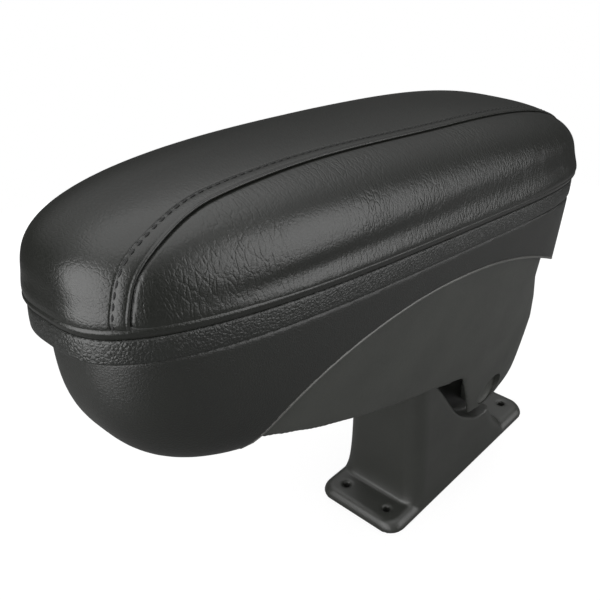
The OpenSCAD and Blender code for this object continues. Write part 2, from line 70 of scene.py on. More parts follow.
CUSHION_Z, BULGE_H, BULGE, CUSHION_H = RIM_TOP + 0.3, 11.0, 0.4, 46.0
CROWN_Z = CUSHION_Z + BULGE_H


# Plan shapes and lofts

def widening(y):
    return 1 + TAPER * (y - PLAN_MID) / (LID_L / 2)


def plan_ring(z, half_w, y0, y1, rear=REAR_POWER, front=FRONT_POWER, n=176):
    """Level superellipse with a power for each end, which widens to the rear like the lid."""
    a = np.arange(n) * 2 * math.pi / n
    s, c = np.sin(a), np.cos(a)
    p = 2 / np.where(s > 1e-9, rear, front)
    reach = np.where(s > 1e-9, y1 - PLAN_MID, PLAN_MID - y0)
    y = PLAN_MID + reach * np.sign(s) * np.abs(s) ** p
    x = half_w * np.sign(c) * np.abs(c) ** p * widening(y)
    return np.stack([x, y, np.full(n, float(z))], 1)


def block_ring(z, half_w, y0, y1, r, steps=9):
    """Level rectangle with round corners."""
    out = []
    for q in range(4):
        for k in range(steps + 1):
            a = math.radians(q * 90 + k * 90 / steps)
            cx = (1 if q in (0, 3) else -1) * (half_w - r)
            cy = y1 - r if q < 2 else y0 + r
            out.append((cx + r * math.cos(a), cy + r * math.sin(a), z))
    return np.array(out)


def mesh_object(name, verts, faces):
    mesh = bpy.data.meshes.new(name)
    mesh.from_pydata([tuple(v) for v in verts], [], faces)
    mesh.validate()
    obj = bpy.data.objects.new(name, mesh)
    scene.collection.objects.link(obj)
    return obj


def loft(rings, name="loft"):
    n, m = len(rings[0]), len(rings)
    faces = [tuple(range(n - 1, -1, -1)), tuple((m - 1) * n + i for i in range(n))]
    for k in range(m - 1):
        for i in range(n):
            j = (i + 1) % n
            faces.append((k * n + i, k * n + j, (k + 1) * n + j, (k + 1) * n + i))
    return mesh_object(name, np.concatenate(rings), faces)


def rectangle(y0, z0, y1, z1):
    return [(y0, z0), (y1, z0), (y1, z1), (y0, z1)]


def prism(outline, x1, x0=None):
    """Side outline of (y, z) drawn out from x0 to x1, or from -x1 to x1."""
    x0 = -x1 if x0 is None else x0
    n = len(outline)
    verts = [(x0, y, z) for y, z in outline] + [(x1, y, z) for y, z in outline]
    faces = [tuple(range(n - 1, -1, -1)), tuple(range(n, 2 * n))]
    faces += [(i, (i + 1) % n, n + (i + 1) % n, n + i) for i in range(n)]
    obj = mesh_object("prism", verts, faces)
    mend_normals(obj)
    return obj


def cylinder(p0, p1, r, sides):
    p0, p1 = Vector(p0), Vector(p1)
    axis = (p1 - p0).normalized()
    u = axis.orthogonal().normalized()
    w = axis.cross(u)
    ring = [u * math.cos(2 * math.pi * k / sides) + w * math.sin(2 * math.pi * k / sides) for k in range(sides)]
    obj = loft([np.array([tuple(p + d * r) for d in ring]) for p in (p0, p1)], "cylinder")
    mend_normals(obj)
    return obj


def rod(x0, x1, y, z, r, sides):
    return cylinder((x0, y, z), (x1, y, z), r, sides)


def post(x, y, z0, z1, r, sides=24):
    return cylinder((x, y, z0), (x, y, z1), r, sides)


def mend_normals(obj):
    bm = bmesh.new()
    bm.from_mesh(obj.data)
    bmesh.ops.recalc_face_normals(bm, faces=bm.faces)
    bm.to_mesh(obj.data)
    bm.free()


def apply_modifiers(obj):
    graph = bpy.context.evaluated_depsgraph_get()
    mesh = bpy.data.meshes.new_from_object(obj.evaluated_get(graph))
    obj.modifiers.clear()
    old, obj.data = obj.data, mesh
    bpy.data.meshes.remove(old)


def combine(obj, others, operation):
    for other in others:
        mod = obj.modifiers.new("combine", "BOOLEAN")
        mod.operation = operation
        mod.solver = "EXACT"
        mod.object = other
        apply_modifiers(obj)
        bpy.data.objects.remove(other, do_unlink=True)
    return obj


def cut(obj, *others):
    return combine(obj, others, "DIFFERENCE")


def join(obj, *others):
    return combine(obj, others, "UNION")


def common(obj, *others):
    return combine(obj, others, "INTERSECT")


def fillet(p, q, r):
    """Arc that rounds corner q, given as (y, z, radius), between its neighbours p and r."""
    if q[2] == 0:
        return [q[:2]]
    c = np.array(q[:2])
    u = (np.array(p[:2]) - c) / np.linalg.norm(np.array(p[:2]) - c)
    v = (np.array(r[:2]) - c) / np.linalg.norm(np.array(r[:2]) - c)
    half = math.acos(float(u @ v)) / 2
    reach = q[2] / math.tan(half)
    centre = c + (u + v) / np.linalg.norm(u + v) * q[2] / math.sin(half)
    a, b = c + u * reach - centre, c + v * reach - centre
    a0, a1 = math.atan2(a[1], a[0]), math.atan2(b[1], b[0])
    turn = (a1 - a0 + 3 * math.pi) % (2 * math.pi) - math.pi
    steps = max(2, math.ceil(abs(math.degrees(turn)) / 6))
    angles = [a0 + turn * k / steps for k in range(steps + 1)]
    return [tuple(centre + q[2] * np.array((math.cos(t), math.sin(t)))) for t in angles]


def rounded(pts):
    out = []
    for i in range(len(pts)):
        out += fillet(pts[i - 1], pts[i], pts[(i + 1) % len(pts)])
    return out


def bezier(p, n):
    p = np.array(p, float)
    t = np.linspace(0, 1, n + 1)[:, None]
    s = 1 - t
    return [tuple(v) for v in p[0] * s ** 3 + 3 * p[1] * s * s * t + 3 * p[2] * s * t * t + p[3] * t ** 3]


# Placing: arm pieces are drawn level and pitched about the pivot, then everything goes to metres

def arm_to_row(points):
    p = np.asarray(points, float).copy()
    y, z = p[:, 1] - PIVOT_Y, p[:, 2] - PIVOT_Z
    p[:, 1] = PIVOT_Y + y * math.cos(PITCH) + z * math.sin(PITCH)
    p[:, 2] = PIVOT_Z - y * math.sin(PITCH) + z * math.cos(PITCH)
    return p


def vertex_data(mesh, name):
    values = np.zeros(len(mesh.vertices) * 3)
    mesh.vertices.foreach_get(name, values)
    return values.reshape(-1, 3)


def coords(obj):
    return vertex_data(obj.data, "co")


def vertex_normals(obj):
    return vertex_data(obj.data, "normal")


def set_coords(obj, co):
    obj.data.vertices.foreach_set("co", np.asarray(co, float).ravel())
    obj.data.update()


def place(obj, on_arm):
    co = coords(obj)
    set_coords(obj, (arm_to_row(co) if on_arm else co) * MM)


def soften(obj, voxel, rounds, keep=1.0):
    """Voxel remesh and smoothing, in millimetres, which gives moulded parts their soft edges."""
    mod = obj.modifiers.new("remesh", "REMESH")
    mod.mode = "VOXEL"
    mod.voxel_size = voxel
    apply_modifiers(obj)
    mod = obj.modifiers.new("smooth", "SMOOTH")
    mod.factor, mod.iterations = 0.5, rounds
    if keep < 1:
        mod = obj.modifiers.new("fewer", "DECIMATE")
        mod.ratio = keep
    apply_modifiers(obj)


def smooth_where(obj, chosen, rounds):
    """Extra smoothing on some of the vertices, which rounds an edge there."""
    group = obj.vertex_groups.new(name="smoothed")
    group.add([int(i) for i in np.nonzero(chosen)[0]], 1.0, "REPLACE")
    mod = obj.modifiers.new("smooth", "SMOOTH")
    mod.factor, mod.iterations, mod.vertex_group = 0.5, rounds, group.name
    apply_modifiers(obj)
    obj.vertex_groups.clear()


def tube(name, points, r, sides=10):
    """Round bead along a line of points."""
    pts = np.array(points, float)
    run = np.gradient(pts, axis=0)
    run /= np.linalg.norm(run, axis=1, keepdims=True)
    angles = np.arange(sides) * 2 * math.pi / sides
    rings = []
    for p, d in zip(pts, run):
        u = np.cross(d, (1.0, 0.0, 0.0))
        u /= np.linalg.norm(u)
        w = np.cross(d, u)
        rings.append(np.array([p + r * (u * math.cos(a) + w * math.sin(a)) for a in angles]))
    obj = loft(rings, name)
    mend_normals(obj)
    return obj


def shade(obj, angle=None):
    obj.data.polygons.foreach_set("use_smooth", [True] * len(obj.data.polygons))
    if angle is not None:
        obj.data.set_sharp_from_angle(angle=math.radians(angle))
    obj.data.update()


# Materials

def new_material(name, colour, rough, metallic=0.0, specular=0.5):
    mat = bpy.data.materials.new(name)
    mat.use_nodes = True
    shader = mat.node_tree.nodes["Principled BSDF"]
    shader.inputs["Base Color"].default_value = (*colour, 1)
    shader.inputs["Roughness"].default_value = rough
    shader.inputs["Metallic"].default_value = metallic
    shader.inputs["Specular IOR Level"].default_value = specular
    return mat, shader


class Nodes:
    """Short helper for wiring a node tree."""

    def __init__(self, mat):
        self.tree = mat.node_tree
        places = self.tree.nodes.new("ShaderNodeTexCoord").outputs
        self.coord, self.direction = places["Object"], places["Generated"]

    def put(self, kind, inputs=(), **props):
        node = self.tree.nodes.new(kind)
        for k, v in props.items():
            setattr(node, k, v)
        for k, v in dict(inputs).items():
            if isinstance(v, bpy.types.NodeSocket):
                self.tree.links.new(v, node.inputs[k])
            else:
                node.inputs[k].default_value = v
        return node

    def scaled(self, s, turn=(0, 0, 0)):
        return self.put("ShaderNodeMapping", {"Vector": self.coord, "Scale": s, "Rotation": turn}).outputs[0]

    def noise(self, vec, scale, detail, rough=0.55):
        return self.put("ShaderNodeTexNoise", {"Vector": vec, "Scale": scale, "Detail": detail,
                                               "Roughness": rough}).outputs["Fac"]

    def cells(self, vec, scale):
        return self.put("ShaderNodeTexVoronoi", {"Vector": vec, "Scale": scale},
                        feature="DISTANCE_TO_EDGE").outputs["Distance"]

    def math(self, op, a, b=0.0, c=0.0):
        return self.put("ShaderNodeMath", {0: a, 1: b, 2: c}, operation=op).outputs[0]

    def span(self, v, a, b, c, d, **props):
        return self.put("ShaderNodeMapRange", {"Value": v, "From Min": a, "From Max": b, "To Min": c, "To Max": d},
                        **props).outputs[0]

    def warp(self, vec, scale, amount):
        n = self.put("ShaderNodeTexNoise", {"Vector": vec, "Scale": scale, "Detail": 2.0}).outputs["Color"]
        n = self.put("ShaderNodeVectorMath", {0: n, 1: (0.5, 0.5, 0.5)}, operation="SUBTRACT").outputs[0]
        n = self.put("ShaderNodeVectorMath", {0: n, "Scale": amount}, operation="SCALE").outputs[0]
        return self.put("ShaderNodeVectorMath", {0: vec, 1: n}, operation="ADD").outputs[0]

    def mix(self, fac, a, b):
        return self.put("ShaderNodeMix", {0: fac, 6: a, 7: b}, data_type="RGBA").outputs[2]

    def bump(self, height, strength, distance, normal=None):
        inputs = {"Height": height, "Strength": strength, "Distance": distance}
        if normal is not None:
            inputs["Normal"] = normal
        return self.put("ShaderNodeBump", inputs).outputs[0]

    def attribute(self, name):
        return self.put("ShaderNodeAttribute", attribute_name=name).outputs["Fac"]

    def light_path(self):
        """Whether a ray comes from the camera, and whether it is a mirrored or refracted one."""
        rays = self.put("ShaderNodeLightPath").outputs
        return rays["Is Camera Ray"], self.math("MAXIMUM", rays["Is Glossy Ray"], rays["Is Transmission Ray"])

    def to(self, out, shader, socket):
        self.tree.links.new(out, shader.inputs[socket])


def moulded(name, dark, light, rough, cell, depth, fine=0.0):
    """Black moulding with a pebbled grain: cell size and depth in millimetres, depth 0 for a satin face."""
    mat, shader = new_material(name, light, rough)
    g = Nodes(mat)
    cloud = g.noise(g.coord, 28.0, 3.0)
    fleck = g.noise(g.coord, 900.0, 2.0)
    tone = g.math("ADD", g.math("MULTIPLY", cloud, 0.7), g.math("MULTIPLY", fleck, 0.3))
    g.to(g.mix(g.span(tone, 0.35, 0.65, 0.0, 1.0), (*dark, 1), (*light, 1)), shader, "Base Color")
    g.to(g.span(tone, 0.3, 0.7, rough + 0.05, rough - 0.05), shader, "Roughness")
    normal = None
    if depth:
        v = g.warp(g.coord, 260.0, 0.0012)
        pebble = g.span(g.cells(v, 1000.0 / cell), 0.0, 0.36, 0.0, 1.0)
        small = g.cells(v, 2300.0 / cell)
        normal = g.bump(g.math("ADD", pebble, g.math("MULTIPLY", small, 0.5)), 1.0, depth * MM)
    if fine:
        normal = g.bump(g.noise(g.coord, 1500.0, 3.0, 0.6), 0.6, fine * MM, normal)
    if normal is not None:
        g.to(normal, shader, "Normal")
    return mat


def leatherette():
    mat, shader = new_material("leatherette", (0.012, 0.0122, 0.0112), 0.3)
    g = Nodes(mat)
    side = g.attribute("side_panel")
    seam = g.attribute("seam_pull")
    # Creases run across the panels: an open network on the side, a finer and shallower one on top
    across = g.warp(g.scaled((0.5, 1.0, 0.42), (0.0, 0.0, 0.1)), 150.0, 0.0032)
    open_net = g.span(g.cells(across, 430.0), 0.0, 0.16, 0.0, 1.0)
    fine_net = g.span(g.cells(g.warp(g.scaled((0.55, 1.0, 0.8)), 210.0, 0.0022), 720.0), 0.0, 0.22, 0.0, 1.0)
    pulls = g.noise(g.warp(g.scaled((0.1, 1.0, 0.1)), 60.0, 0.003), 520.0, 2.0, 0.5)
    patch = g.span(g.noise(g.coord, 30.0, 3.0), 0.38, 0.62, 0.2, 1.0)
    pebble = g.span(g.cells(g.warp(g.coord, 320.0, 0.0015), 980.0), 0.0, 0.3, 0.0, 1.0)
    fine = g.noise(g.coord, 1900.0, 3.0, 0.6)
    depth = g.math("MULTIPLY", g.math("MULTIPLY", open_net, patch), g.math("MULTIPLY_ADD", side, 0.9, 0.1))
    depth = g.math("MULTIPLY_ADD", fine_net, g.math("MULTIPLY_ADD", side, -0.12, 0.42), depth)
    depth = g.math("MULTIPLY_ADD", g.math("MULTIPLY", pulls, seam), 1.6, depth)
    normal = g.bump(depth, 0.55, 0.00015)
    normal = g.bump(g.math("MULTIPLY_ADD", fine, 0.5, pebble), 0.35, 0.00004, normal)
    g.to(normal, shader, "Normal")
    tone = g.math("MULTIPLY_ADD", patch, 0.4, g.math("MULTIPLY", fine, 0.6))
    g.to(g.mix(tone, (0.005, 0.0055, 0.0045, 1), (0.0095, 0.0103, 0.0085, 1)), shader, "Base Color")
    g.to(g.span(g.math("ADD", pebble, fine), 0.4, 1.5, 0.36, 0.29), shader, "Roughness")
    return mat


def steel(name, colour, rough):
    mat, shader = new_material(name, colour, rough, metallic=1.0)
    g = Nodes(mat)
    n = g.noise(g.scaled((0.15, 1.0, 1.0)), 2200.0, 3.0)
    g.to(g.span(n, 0.3, 0.7, rough - 0.07, rough + 0.1), shader, "Roughness")
    g.to(g.mix(n, (*[c * 0.8 for c in colour], 1), (*colour, 1)), shader, "Base Color")
    g.to(g.bump(n, 0.2, 0.00005), shader, "Normal")
    return mat


def soft(name, dark, light, rough, scale, depth):
    mat, shader = new_material(name, light, rough, specular=0.35)
    g = Nodes(mat)
    n = g.noise(g.coord, scale, 5.0, 0.65)
    g.to(g.mix(g.span(n, 0.3, 0.7, 0.0, 1.0), (*dark, 1), (*light, 1)), shader, "Base Color")
    g.to(g.bump(n, 0.6, depth), shader, "Normal")
    g.to(g.span(n, 0.3, 0.7, rough + 0.06, rough - 0.06), shader, "Roughness")
    return mat


def ribbed_rubber():
    mat, shader = new_material("mat_rubber", (0.03, 0.03, 0.03), 0.7, specular=0.35)
    g = Nodes(mat)
    wave = g.put("ShaderNodeTexWave", {"Vector": g.coord, "Scale": 90.0, "Distortion": 0.2},
                 bands_direction="Y").outputs["Fac"]
    n = g.noise(g.coord, 800.0, 3.0)
    g.to(g.bump(g.math("ADD", wave, g.math("MULTIPLY", n, 0.3)), 0.8, 0.0005), shader, "Normal")
    g.to(g.mix(n, (0.018, 0.018, 0.018, 1), (0.034, 0.034, 0.033, 1)), shader, "Base Color")
    return mat


MAT = {
    "pedestal_plastic": moulded("pedestal_plastic", (0.018, 0.0188, 0.0166), (0.025, 0.0261, 0.0232),
                                0.38, 1.0, 0.0, 0.03),
    "arm_plastic": moulded("arm_plastic", (0.022, 0.0232, 0.0202), (0.03, 0.0316, 0.0277), 0.5, 0.9, 0.04, 0.03),
    "box_plastic": moulded("box_plastic", (0.0055, 0.006, 0.005), (0.009, 0.0098, 0.0082), 0.43, 1.2, 0.055, 0.02),
    "rim_plastic": moulded("rim_plastic", (0.006, 0.0066, 0.0057), (0.01, 0.0109, 0.0095), 0.36, 1.5, 0.12),
    # Lighter than the arm's plastic: a painted highlight, which makes the cap and its rim stand out as lit
    "cap_plastic": moulded("cap_plastic", (0.032, 0.0335, 0.0298), (0.042, 0.044, 0.039), 0.34, 1.0, 0.0, 0.02),
    # Lighter plastic for the wave bead: a painted highlight, the thin line of light along the skin's edge
    "edge_highlight_paint": moulded("edge_highlight_paint", (0.05, 0.05, 0.047), (0.085, 0.085, 0.08), 0.34, 1.0, 0.0, 0.02),
    "cover_leather": leatherette(),
    "plain_steel": steel("plain_steel", (0.56, 0.57, 0.58), 0.34),
    "bush_plastic": soft("bush_plastic", (0.5, 0.48, 0.42), (0.6, 0.58, 0.52), 0.45, 500.0, 0.00004),
    "black_rubber": soft("black_rubber", (0.016, 0.016, 0.016), (0.03, 0.03, 0.03), 0.7, 1200.0, 0.00008),
    "mat_rubber": ribbed_rubber(),
    "board_wood": soft("board_wood", (0.22, 0.14, 0.07), (0.42, 0.30, 0.17), 0.75, 420.0, 0.0002),
    "cushion_foam": soft("cushion_foam", (0.12, 0.12, 0.11), (0.2, 0.2, 0.19), 0.9, 1500.0, 0.0004),
    "thread": soft("thread", (0.006, 0.006, 0.006), (0.012, 0.012, 0.012), 0.6, 3000.0, 0.00008),
}


def finish_piece(obj, body, slot, material=None, replaces=(), angle=None):
    """Puts a piece in its place with its material, which its slot names unless one is given, hangs it on its body and
    hides the CAD nodes it stands for.
    """
    place(obj, body != "base")
    obj.data.materials.clear()
    obj.data.materials.append(MAT[material or slot])
    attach(obj, body)
    for node in replaces:
        if node in nodes:
            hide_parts(node)
    shade(obj, angle)


# Camera

def make_camera():
    a, e, r = CAM_AZ, CAM_EL, CAM_ROLL
    fwd = Vector((-math.sin(a) * math.cos(e), math.cos(a) * math.cos(e), -math.sin(e)))
    right = Vector((math.cos(a), math.sin(a), 0))
    up = right.cross(fwd)
    rr = right * math.cos(r) + up * math.sin(r)
    uu = -right * math.sin(r) + up * math.cos(r)
    cam = bpy.data.cameras.new("camera")
    cam.sensor_width = SENSOR
    cam.lens = FOCAL_PX / PICTURE * SENSOR
    cam.shift_x = (PICTURE / 2 - CENTRE_X) / PICTURE
    cam.shift_y = (CENTRE_Y - PICTURE / 2) / PICTURE
    cam.clip_start, cam.clip_end = 0.01, 100
    obj = bpy.data.objects.new("camera", cam)
    scene.collection.objects.link(obj)
    m = Matrix((rr, uu, -fwd)).transposed().to_4x4()
    m.translation = Vector(CAM_POS) * MM
    obj.matrix_world = m
    scene.camera = obj


make_camera()


# Storage box

FLANK_FOOT, BOW_POWER, WAVE_CORNER = 36, 2.85, 6.0
# The wave line's front and rear arc, each as four points (y, z)
WAVE_FRONT = [(-199, 100), (-199, 150), (-131, 169.5), (-75, 169.5)]
WAVE_REAR = [(-75, 169.5), (-30, 169.5), (10, 162), (66, 135)]


def depth_share(z):
    return min(0.999, max(0.0, (BOX_TOP - z) / BOX_DEPTH))


def flank(z):
    return max(0.01, (z - FLANK_FOOT) / (BOX_TOP - FLANK_FOOT)) ** 0.6


EAR_SHARE = widening(PIVOT_Y) * 0.932
ARM_OUT = SKIN_T + 0.3
BOX_HALF = LID_W / 2 - 2.3
FLANK_LOW = (EAR_FACE / EAR_SHARE + ARM_OUT - BOX_HALF * flank(PIVOT_Z)) / (1 - flank(PIVOT_Z))
BOW_START, FRONT_OVER = LID_FRONT + 100, 6.5


def box_half(z):
    return FLANK_LOW + (BOX_HALF - FLANK_LOW) * flank(z)


def bow(z):
    reach = BOW_START - LID_FRONT - FRONT_OVER
    return BOW_START - reach * (1 - depth_share(z) ** BOW_POWER) ** (1 / BOW_POWER)


def stern(z):
    """The rear face, which leans in towards the rim above it."""
    return LID_REAR - 5 + 0.11 * (BOX_TOP - z)


def bilge(z):
    """The share of the half width that is left where the flanks turn in near the bottom."""
    return (1 - max(0.0, (depth_share(z) - 0.62) / 0.38) ** 3) ** (1 / 4.6)


def box_ring(z, d):
    return plan_ring(z, box_half(z) * bilge(z) - d, bow(z) + d, stern(z) - d, BOX_REAR_POWER)


def wave_outline(lift=0.0, corner=0.0):
    """Side outline of all that lies below the wave line, whose rear end gets a round corner."""
    line = bezier(WAVE_FRONT, 30) + bezier(WAVE_REAR, 24)[1:]
    if corner:
        line = [(y, z) for y, z in line if y < stern(z) - corner]
        y, z = line[-1]
        for k in range(1, 10):
            a = math.radians(10 * k)
            drop = 0.42 * corner * math.sin(a) * (1 - k / 9)
            line.append((y + corner * math.sin(a), z + corner * (1 - math.cos(a)) - drop))
    return [(y, z + lift) for y, z in line] + [(90, line[-1][1] + lift), (90, 30), (-199, 30)]


# Heights of the box's rings below its edge, as shares of its depth
BOX_SHARES = [0.97, 0.965, 0.957, 0.945, 0.93, 0.912, 0.89, 0.865, 0.835, 0.8, 0.76, 0.72, 0.68, 0.64, 0.59, 0.54,
              0.49, 0.43, 0.37, 0.31, 0.25, 0.18, 0.11, 0.05]


def box_rings(low, high, d):
    zs = [low] + [z for z in (BOX_TOP - v * BOX_DEPTH for v in BOX_SHARES) if low + 0.3 < z < high - 0.5] + [high]
    return [box_ring(z, d) for z in zs]


TUB_IN = ARM_OUT + ARM_WALL + 0.4
TUB_FLOOR = BOX_TOP - TUB_DEPTH
TUB_LOW = TUB_FLOOR - 3.0
NOTCH_R = KNUCKLE_R + 2.2
TUB_REAR = HINGE_Y - NOTCH_R - 2


def tub_rings(low, high, d):
    zs = [low] + [low + (high - low) * k / 10 for k in range(1, 10)] + [high]
    return [plan_ring(z, box_half(z) * bilge(z) - TUB_IN - d, bow(z) + TUB_IN + d, TUB_REAR - d) for z in zs]


def above_floor(d):
    """Everything above the tub's floor, which ramps up under the bow."""
    return prism([(-400, 400), (-400, 139.5 + d), (-198, 139.5 + d), (-149, TUB_LOW + d), (400, TUB_LOW + d),
                  (400, 400)], 200)


def tub_space():
    return common(loft(tub_rings(TUB_FLOOR, BOX_TOP + 1, TUB_WALL)), above_floor(3.0))


def knuckle(i, width=KNUCKLE_W, r=KNUCKLE_R):
    x = i * (KNUCKLE_W + 0.3)
    return rod(x - width / 2, x + width / 2, HINGE_Y, HINGE_Z, r, 32)


def make_box():
    low = BOX_TOP - BOX_SHARES[0] * BOX_DEPTH
    shell = loft(box_rings(low, BOX_TOP - 1.2, 0) + [box_ring(BOX_TOP - 0.5, 0.25), box_ring(BOX_TOP, 1.0)])
    inside = box_rings(TUB_LOW + 0.3, BOX_TOP - 2.5, SKIN_T)
    # The bottom of the skin is nearly level, so the inside is raised there to keep its thickness
    for ring in inside:
        ring[:, 2] += 1.8 * depth_share(ring[0, 2]) ** 4
    cut(shell, loft(inside), prism(wave_outline(corner=WAVE_CORNER), 200))
    join(shell, *[knuckle(i) for i in (-2, 0, 2)])
    cut(shell, tub_space(), *[knuckle(i, KNUCKLE_W + 0.6, NOTCH_R) for i in (-1, 1)],
        rod(-60, 60, HINGE_Y, HINGE_Z, PIN_R + 0.05, 32))
    liner = common(loft(tub_rings(TUB_LOW, BOX_TOP - 2.5, 0)), above_floor(0))
    cut(liner, tub_space())
    cut(liner, *[post(x, y, TUB_LOW - 1, TUB_LOW + 4, 1.9) for x in (-BOX_SCREW_X, BOX_SCREW_X) for y in BOX_SCREW_Y])
    shell.name = "box_shell"
    liner.name = "box_liner_moulding"
    soften(shell, 1.05, 3, 0.5)
    finish_piece(shell, "arm", "box_plastic", replaces=["storage_box"])
    finish_piece(liner, "arm", "box_plastic", replaces=["box_liner"], angle=35)


def skin_x(y, z):
    """Half width of the box's skin at a place on its side, or None outside it."""
    if y > PLAN_MID:
        reach, p = stern(z) - PLAN_MID, BOX_REAR_POWER
    else:
        reach, p = PLAN_MID - bow(z), FRONT_POWER
    share = 1 - abs((y - PLAN_MID) / reach) ** p
    return box_half(z) * bilge(z) * share ** (1 / p) * widening(y) if share > 0.004 else None


def make_wave_edge():
    """The rounded edge of the skin along its wave, in a lighter colour that is a painted highlight: the thin line of
    light along it.
    """
    wave = wave_outline(corner=WAVE_CORNER)[:-3]
    line = [(skin_x(y, z), y, z) for y, z in wave if z > BOX_TOP - BOX_DEPTH + 1.5]
    line = [p for p in line if p[0]]
    for side, name in ((-1, "wave_edge_left"), (1, "wave_edge_right")):
        bead = tube(name, [(side * (x - 0.5), y, z + 0.5) for x, y, z in line], 0.85)
        # The bead's lighter colour is a painted highlight, not the plastic's own tone
        finish_piece(bead, "arm", "box_plastic", "edge_highlight_paint")


# Hinge arm

# Side outline from its underside up: y, z and corner radius
ARM_LOW = [(-200, 136.5, 0), (-150, 119.2, 60), (-100, 104.5, 90), (-60, 96, 90), (-28, 87.5, 3), (0, 43.5, 7),
           (26, 43.5, 14), (52, 61, 22), (60, 98, 60), (61, 200, 0), (-200, 200, 0)]


def arm_form(d):
    rings = []
    for z in [38, 41, 44, 48, 52, 57, 62, 70, 78, 89, 100, 115, 130, 145, 160, 175, 190]:
        power = ARM_POWER + (REAR_POWER - ARM_POWER) * min(1, max(0, z - 100) / 30)
        rings.append(plan_ring(z, box_half(z) - ARM_OUT - d, LID_FRONT + 20, 59 - d, power))
    return loft(rings)


def boss(x, r, length=30.0):
    return [rod(s * x, s * (x + length), PIVOT_Y, PIVOT_Z, r, 64) for s in (-1, 1)]


def make_arm():
    # The cutting bodies end at different places, so that no two faces fall together
    outline = rounded(ARM_LOW)
    arm = common(arm_form(0), prism(outline, 200), prism(wave_outline(7.0), 200))
    nose = loft(box_rings(TUB_LOW + 1, BOX_TOP, ARM_OUT))
    lip = common(prism(wave_outline(-0.3), 199), prism(rectangle(-187, -52, 302, 302), 201))
    join(nose, prism(rectangle(-170, -50, 300, 300), 200), lip)
    common(arm, nose, prism(rectangle(-197, -50, 300, 300), 200))
    trough = common(prism([(y, z + ARM_WALL * 1.1) for y, z in outline], 199),
                    prism(rectangle(-194.5, -60, 301, 301), 201))
    join(trough, prism(rectangle(-64, -70, 302, 302), 202))
    hollow = common(arm_form(ARM_WALL), trough)
    # What stays inside: deck, front bulkhead, the bosses of the ears and the posts under the box's screws
    keep = [prism(rectangle(-66.5, DECK_Z, 300, DECK_Z + DECK_T), 203),
            prism(rectangle(-66.5, 0, -64, DECK_Z + 1), 204), *boss(EAR_IN, CAP_R + 2)]
    for y, foot in zip(BOX_SCREW_Y, (0, DECK_Z)):
        keep += [post(x, y, foot, TUB_LOW - 0.05, 4.5) for x in (-BOX_SCREW_X, BOX_SCREW_X)]
    cut(hollow, *keep)
    cut(arm, hollow)
    cut(arm, prism(rectangle(PIVOT_Y + CAP_R + 4, -10, 300, 74), 28.75), *boss(EAR_IN + EAR_WEB, NUT_ROOM),
        rod(-31, 31, PIVOT_Y, PIVOT_Z, BOLT_SHANK + BUSH_WALL + 0.05, 32))
    arm.name = "arm_moulding"
    soften(arm, 1.0, 8, 0.6)
    x, y, z = coords(arm).T
    smooth_where(arm, (z < 98) & (y > -42) & (y < 10) & (np.abs(x) > 24), 40)
    cut(arm, *boss(EAR_FACE - CAP_SEAT, CAP_R + 0.1))
    finish_piece(arm, "arm", "arm_plastic", replaces=["hinge_arm"], angle=50)


# Base pedestal

# Flange: height and inset. Pedestal: height, then inset at the sides, the front and the rear
FLANGE = [(0, 0.5), (0.6, 0.05), (2, 0.2), (3.4, 0.7), (4.5, 1.4), (5.5, 2.2), (6.3, 3.0), (6.9, 3.7), (7.2, 4.4),
          (7.5, 5.6)]
PED = [(2, 0.3, -3, -3.5), (6, 0.8, -2.6, -2.5), (8.5, 1.1, -1.2, 0.5), (13.5, 1.6, 0.2, 5), (21.5, 2.1, 1.2, 11),
       (31.5, 2.6, 1.8, 16), (45.5, 3, 2.3, 17.5), (61.5, 3.4, 2.7, 17), (77.5, 4, 3, 26), (91.5, 4.6, 3, 48),
       (109.5, 5.2, 3, 70)]
# Pocket for an ear, seen from the side: y, z and corner radius, then the way each corner goes as the pocket grows
POCKET = [(-36, 160, 0), (-36, 88, 8), (-9.5, 48.5, 46), (14, 33.5, 30), (28, 34.5, 6), (44, 22, 0), (90, 22, 0),
          (90, 160, 0)]
POCKET_WAY = [(-1, 0), (-1, -0.4), (-0.75, -0.75), (-0.2, -1), (0, -1), (0, -1), (0, -1), (0, 0)]


def curve_value(table, z, k):
    """Column k at height z, on a smooth curve through the table's rows."""
    last = len(table) - 1
    i = int(np.clip(np.searchsorted(table[:, 0], z) - 1, 0, last - 1))
    z0, z1 = table[i, 0], table[i + 1, 0]
    spans = [table[min(j + 1, last)] - table[max(j - 1, 0)] for j in (i, i + 1)]
    slope = [s[k] / s[0] for s in spans]
    t, h = (z - z0) / (z1 - z0), z1 - z0
    return ((2 * t**3 - 3 * t**2 + 1) * table[i, k] + (t**3 - 2 * t**2 + t) * h * slope[0]
            + (-2 * t**3 + 3 * t**2) * table[i + 1, k] + (t**3 - t**2) * h * slope[1])


def ped_rings(d, start=0, steps=4):
    """Rings of the pedestal from row start of its table on, inset by d."""
    table = np.array(PED)
    zs = [np.linspace(a, b, steps + 1)[:-1] for a, b in zip(table[:-1, 0], table[1:, 0])]
    rings = []
    for z in np.concatenate(zs + [table[-1:, 0]])[start * steps:]:
        side, front, rear = (curve_value(table, z, k) for k in (1, 2, 3))
        rings.append(block_ring(z, BASE_W / 2 - side - d, front + d - PED_FRONT, PED_REAR - rear - d, PED_R - d / 2))
    return rings


def arm_side(points):
    p = arm_to_row([(0, y, z) for y, z in points])
    return [(v[1], v[2]) for v in p]


def pocket(x, grow):
    line = rounded([(p[0] + grow * w[0], p[1] + grow * w[1], p[2]) for p, w in zip(POCKET, POCKET_WAY)])
    return [prism(line, 70 + grow, x), prism(line, -x, -70 - grow)]


